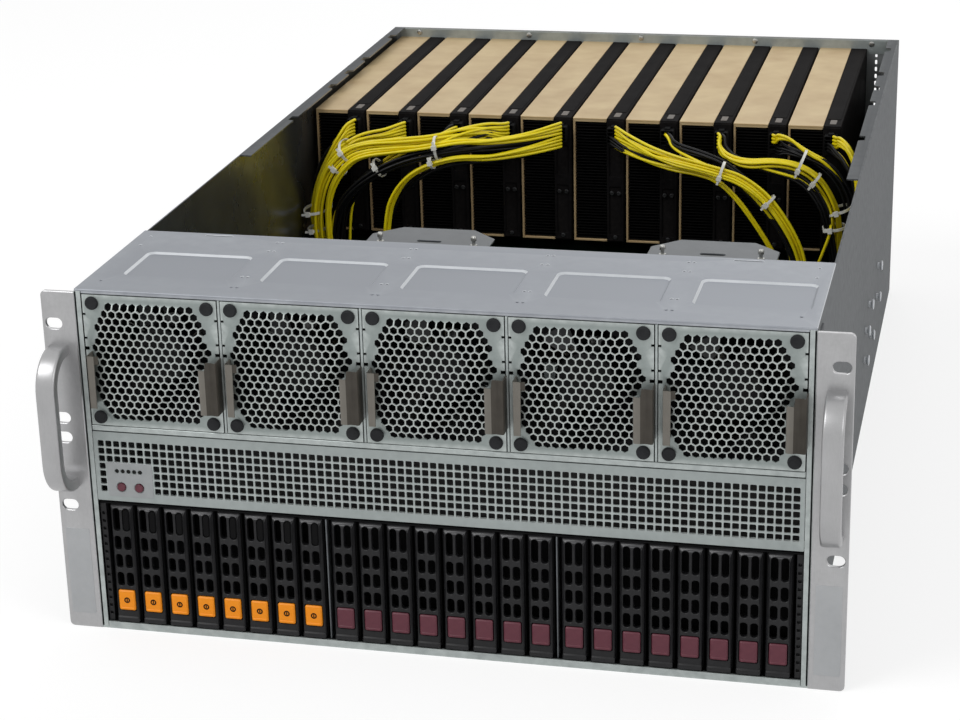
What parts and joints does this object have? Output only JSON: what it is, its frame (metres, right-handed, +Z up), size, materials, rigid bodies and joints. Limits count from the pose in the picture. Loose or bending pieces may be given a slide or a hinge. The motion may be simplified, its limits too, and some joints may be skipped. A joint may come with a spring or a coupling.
{
  "type": "gpu server",
  "caption": "Rack server chassis with the rear top cover off: hot-swap fan modules over a perforated grille and drive trays, accelerator cards standing behind, slotted ears with handles.",
  "frame": {"origin": "centre of the chassis bottom, on the surface it stands on", "axes": "+X to the server's right seen from the front, +Y from the front to the rear, +Z up"},
  "size_m": [0.4794, 0.7867, 0.2222],
  "materials": {
    "zinc_steel": "zinc plated",
    "cover_steel": "zinc plated",
    "fan_zinc": "satin",
    "satin_aluminium": "satin",
    "dark_aluminium": "matte",
    "gold_shroud": "satin",
    "black_plastic": "matte",
    "grey_plastic": "matte",
    "maroon_plastic": "satin",
    "yellow_wire": "satin",
    "circuit_board": "satin",
    "supply_case": "zinc plated"
  },
  "bodies": {
    "chassis": {"bottom_pan": "zinc_steel", "side_walls": "zinc_steel", "front_cover": "cover_steel", "fan_cage": "zinc_steel", "hold_down_plates": "zinc_steel", "front_grille": "zinc_steel", "drive_cage": "zinc_steel", "drive_backplane": "circuit_board", "rack_ears": "satin_aluminium", "ear_handles": "satin_aluminium", "rear_panel": "zinc_steel", "card_shelf": "zinc_steel", "expansion_board": "circuit_board", "card_shrouds": "gold_shroud", "card_heat_sinks": "dark_aluminium", "card_covers": "black_plastic", "power_cables": "yellow_wire", "processor_heat_sinks": "satin_aluminium", "system_board": "circuit_board", "supply_bay": "zinc_steel"},
    "drive_01": {"drive_01": "grey_plastic"},
    "drive_02": {"drive_02": "grey_plastic"},
    "drive_03": {"drive_03": "grey_plastic"},
    "drive_04": {"drive_04": "grey_plastic"},
    "drive_05": {"drive_05": "grey_plastic"},
    "drive_06": {"drive_06": "grey_plastic"},
    "drive_07": {"drive_07": "grey_plastic"},
    "drive_08": {"drive_08": "grey_plastic"},
    "drive_09": {"drive_09": "grey_plastic"},
    "drive_10": {"drive_10": "grey_plastic"},
    "drive_11": {"drive_11": "grey_plastic"},
    "drive_12": {"drive_12": "grey_plastic"},
    "drive_13": {"drive_13": "grey_plastic"},
    "drive_14": {"drive_14": "grey_plastic"},
    "drive_15": {"drive_15": "grey_plastic"},
    "drive_16": {"drive_16": "grey_plastic"},
    "drive_17": {"drive_17": "grey_plastic"},
    "drive_18": {"drive_18": "grey_plastic"},
    "drive_19": {"drive_19": "grey_plastic"},
    "drive_20": {"drive_20": "grey_plastic"},
    "drive_21": {"drive_21": "grey_plastic"},
    "drive_22": {"drive_22": "grey_plastic"},
    "drive_23": {"drive_23": "grey_plastic"},
    "drive_24": {"drive_24": "grey_plastic"},
    "fan_1_module": {"fan_1_module": "fan_zinc"},
    "fan_1_rotor": {"fan_1_rotor": "black_plastic"},
    "fan_2_module": {"fan_2_module": "fan_zinc"},
    "fan_2_rotor": {"fan_2_rotor": "black_plastic"},
    "fan_3_module": {"fan_3_module": "fan_zinc"},
    "fan_3_rotor": {"fan_3_rotor": "black_plastic"},
    "fan_4_module": {"fan_4_module": "fan_zinc"},
    "fan_4_rotor": {"fan_4_rotor": "black_plastic"},
    "fan_5_module": {"fan_5_module": "fan_zinc"},
    "fan_5_rotor": {"fan_5_rotor": "black_plastic"},
    "power_button": {"power_button": "maroon_plastic"},
    "reset_button": {"reset_button": "maroon_plastic"},
    "power_supply_1": {"power_supply_1": "supply_case"},
    "power_supply_2": {"power_supply_2": "supply_case"},
    "power_supply_3": {"power_supply_3": "supply_case"},
    "power_supply_4": {"power_supply_4": "supply_case"}
  },
  "joints": [
    {"name": "drive_01_slide", "type": "slide", "parent": "chassis", "child": "drive_01", "axis": [0, -1, 0], "range_m": [0, 0.115]},
    {"name": "drive_02_slide", "type": "slide", "parent": "chassis", "child": "drive_02", "axis": [0, -1, 0], "range_m": [0, 0.115]},
    {"name": "drive_03_slide", "type": "slide", "parent": "chassis", "child": "drive_03", "axis": [0, -1, 0], "range_m": [0, 0.115]},
    {"name": "drive_04_slide", "type": "slide", "parent": "chassis", "child": "drive_04", "axis": [0, -1, 0], "range_m": [0, 0.115]},
    {"name": "drive_05_slide", "type": "slide", "parent": "chassis", "child": "drive_05", "axis": [0, -1, 0], "range_m": [0, 0.115]},
    {"name": "drive_06_slide", "type": "slide", "parent": "chassis", "child": "drive_06", "axis": [0, -1, 0], "range_m": [0, 0.115]},
    {"name": "drive_07_slide", "type": "slide", "parent": "chassis", "child": "drive_07", "axis": [0, -1, 0], "range_m": [0, 0.115]},
    {"name": "drive_08_slide", "type": "slide", "parent": "chassis", "child": "drive_08", "axis": [0, -1, 0], "range_m": [0, 0.115]},
    {"name": "drive_09_slide", "type": "slide", "parent": "chassis", "child": "drive_09", "axis": [0, -1, 0], "range_m": [0, 0.115]},
    {"name": "drive_10_slide", "type": "slide", "parent": "chassis", "child": "drive_10", "axis": [0, -1, 0], "range_m": [0, 0.115]},
    {"name": "drive_11_slide", "type": "slide", "parent": "chassis", "child": "drive_11", "axis": [0, -1, 0], "range_m": [0, 0.115]},
    {"name": "drive_12_slide", "type": "slide", "parent": "chassis", "child": "drive_12", "axis": [0, -1, 0], "range_m": [0, 0.115]},
    {"name": "drive_13_slide", "type": "slide", "parent": "chassis", "child": "drive_13", "axis": [0, -1, 0], "range_m": [0, 0.115]},
    {"name": "drive_14_slide", "type": "slide", "parent": "chassis", "child": "drive_14", "axis": [0, -1, 0], "range_m": [0, 0.115]},
    {"name": "drive_15_slide", "type": "slide", "parent": "chassis", "child": "drive_15", "axis": [0, -1, 0], "range_m": [0, 0.115]},
    {"name": "drive_16_slide", "type": "slide", "parent": "chassis", "child": "drive_16", "axis": [0, -1, 0], "range_m": [0, 0.115]},
    {"name": "drive_17_slide", "type": "slide", "parent": "chassis", "child": "drive_17", "axis": [0, -1, 0], "range_m": [0, 0.115]},
    {"name": "drive_18_slide", "type": "slide", "parent": "chassis", "child": "drive_18", "axis": [0, -1, 0], "range_m": [0, 0.115]},
    {"name": "drive_19_slide", "type": "slide", "parent": "chassis", "child": "drive_19", "axis": [0, -1, 0], "range_m": [0, 0.115]},
    {"name": "drive_20_slide", "type": "slide", "parent": "chassis", "child": "drive_20", "axis": [0, -1, 0], "range_m": [0, 0.115]},
    {"name": "drive_21_slide", "type": "slide", "parent": "chassis", "child": "drive_21", "axis": [0, -1, 0], "range_m": [0, 0.115]},
    {"name": "drive_22_slide", "type": "slide", "parent": "chassis", "child": "drive_22", "axis": [0, -1, 0], "range_m": [0, 0.115]},
    {"name": "drive_23_slide", "type": "slide", "parent": "chassis", "child": "drive_23", "axis": [0, -1, 0], "range_m": [0, 0.115]},
    {"name": "drive_24_slide", "type": "slide", "parent": "chassis", "child": "drive_24", "axis": [0, -1, 0], "range_m": [0, 0.115]},
    {"name": "fan_1_slide", "type": "slide", "parent": "chassis", "child": "fan_1_module", "axis": [0, -1, 0], "range_m": [0, 0.09]},
    {"name": "fan_1_spin", "type": "hinge", "parent": "fan_1_module", "child": "fan_1_rotor", "pos_m": [-0.172, -0.34, 0.1778], "axis": [0, 1, 0], "continuous": true},
    {"name": "fan_2_slide", "type": "slide", "parent": "chassis", "child": "fan_2_module", "axis": [0, -1, 0], "range_m": [0, 0.09]},
    {"name": "fan_2_spin", "type": "hinge", "parent": "fan_2_module", "child": "fan_2_rotor", "pos_m": [-0.086, -0.34, 0.1778], "axis": [0, 1, 0], "continuous": true},
    {"name": "fan_3_slide", "type": "slide", "parent": "chassis", "child": "fan_3_module", "axis": [0, -1, 0], "range_m": [0, 0.09]},
    {"name": "fan_3_spin", "type": "hinge", "parent": "fan_3_module", "child": "fan_3_rotor", "pos_m": [0, -0.34, 0.1778], "axis": [0, 1, 0], "continuous": true},
    {"name": "fan_4_slide", "type": "slide", "parent": "chassis", "child": "fan_4_module", "axis": [0, -1, 0], "range_m": [0, 0.09]},
    {"name": "fan_4_spin", "type": "hinge", "parent": "fan_4_module", "child": "fan_4_rotor", "pos_m": [0.086, -0.34, 0.1778], "axis": [0, 1, 0], "continuous": true},
    {"name": "fan_5_slide", "type": "slide", "parent": "chassis", "child": "fan_5_module", "axis": [0, -1, 0], "range_m": [0, 0.09]},
    {"name": "fan_5_spin", "type": "hinge", "parent": "fan_5_module", "child": "fan_5_rotor", "pos_m": [0.172, -0.34, 0.1778], "axis": [0, 1, 0], "continuous": true},
    {"name": "power_button_press", "type": "slide", "parent": "chassis", "child": "power_button", "axis": [0, 1, 0], "range_m": [0, 0.001], "stiffness_N_per_m": 300},
    {"name": "reset_button_press", "type": "slide", "parent": "chassis", "child": "reset_button", "axis": [0, 1, 0], "range_m": [0, 0.001], "stiffness_N_per_m": 300},
    {"name": "power_supply_1_slide", "type": "slide", "parent": "chassis", "child": "power_supply_1", "axis": [0, 1, 0], "range_m": [0, 0.2]},
    {"name": "power_supply_2_slide", "type": "slide", "parent": "chassis", "child": "power_supply_2", "axis": [0, 1, 0], "range_m": [0, 0.2]},
    {"name": "power_supply_3_slide", "type": "slide", "parent": "chassis", "child": "power_supply_3", "axis": [0, 1, 0], "range_m": [0, 0.2]},
    {"name": "power_supply_4_slide", "type": "slide", "parent": "chassis", "child": "power_supply_4", "axis": [0, 1, 0], "range_m": [0, 0.2]}
  ]
}
